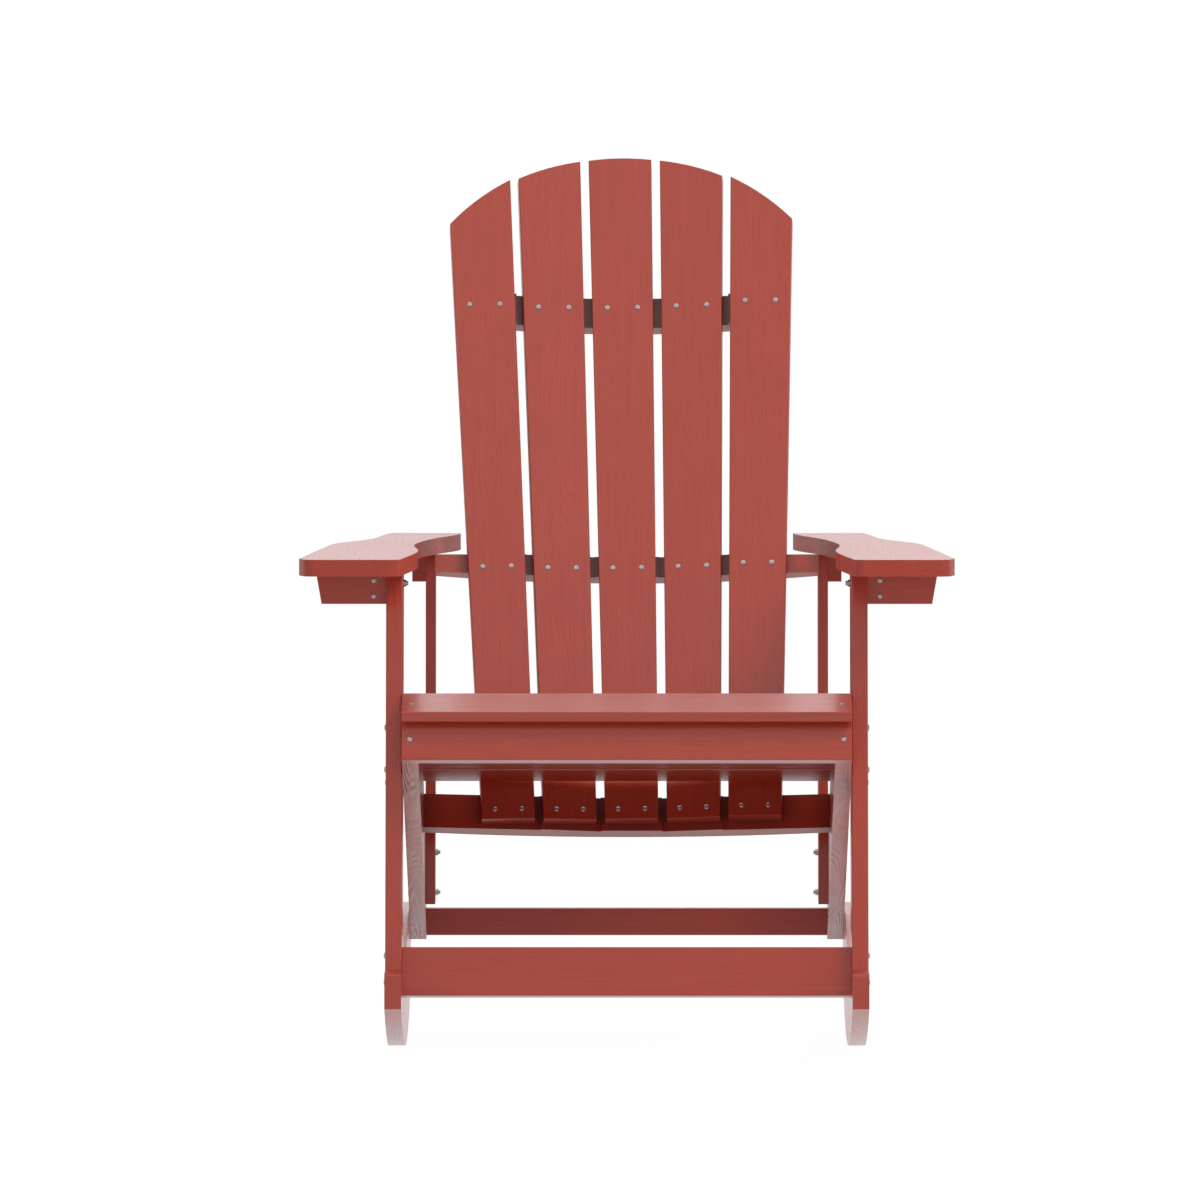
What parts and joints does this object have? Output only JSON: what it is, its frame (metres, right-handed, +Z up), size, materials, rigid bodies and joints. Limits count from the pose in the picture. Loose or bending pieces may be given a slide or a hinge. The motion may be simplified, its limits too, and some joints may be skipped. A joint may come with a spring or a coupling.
{
  "type": "rocking adirondack chair",
  "caption": "Outdoor rocking adirondack chair in red plastic lumber with a fanned slat back, a slatted seat, broad arms and curved rockers.",
  "frame": {"origin": "on the floor plane under the middle of the chair's bounding box", "axes": "+Z up, the sitter faces -Y, +X to the right of a front view"},
  "size_m": [0.7432, 0.8504, 1.0154],
  "materials": {
    "lumber": "satin, embossed wood grain",
    "fastener": "satin"
  },
  "bodies": {
    "root": {"rocker_left": "lumber", "rocker_right": "lumber", "front_leg_left": "lumber", "front_leg_right": "lumber", "seat_rail_left": "lumber", "seat_rail_right": "lumber", "back_leg_left": "lumber", "back_leg_right": "lumber", "arm_left": "lumber", "arm_right": "lumber", "arm_bracket_left": "lumber", "arm_bracket_right": "lumber", "arm_cleat_left": "lumber", "arm_cleat_right": "lumber", "rear_arm_cleat_left": "lumber", "rear_arm_cleat_right": "lumber", "front_apron": "lumber", "front_stretcher": "lumber", "rear_stretcher": "lumber", "seat_slat_1": "lumber", "seat_slat_2": "lumber", "seat_slat_3": "lumber", "seat_slat_4": "lumber", "seat_slat_5": "lumber", "seat_slat_6": "lumber", "seat_slat_7": "lumber", "lower_back_rail": "lumber", "middle_back_rail": "lumber", "upper_back_rail": "lumber", "back_slat_1": "lumber", "back_slat_2": "lumber", "back_slat_3": "lumber", "back_slat_4": "lumber", "back_slat_5": "lumber", "seat_slat_screws": "fastener", "back_slat_screws": "fastener", "apron_screws": "fastener", "arm_bracket_screws": "fastener", "seat_bolts": "fastener", "heel_bolts": "fastener", "back_leg_bolts": "fastener", "arm_cleat_bolts": "fastener", "rear_cleat_bolts": "fastener", "front_stretcher_bolts": "fastener"}
  },
  "joints": []
}
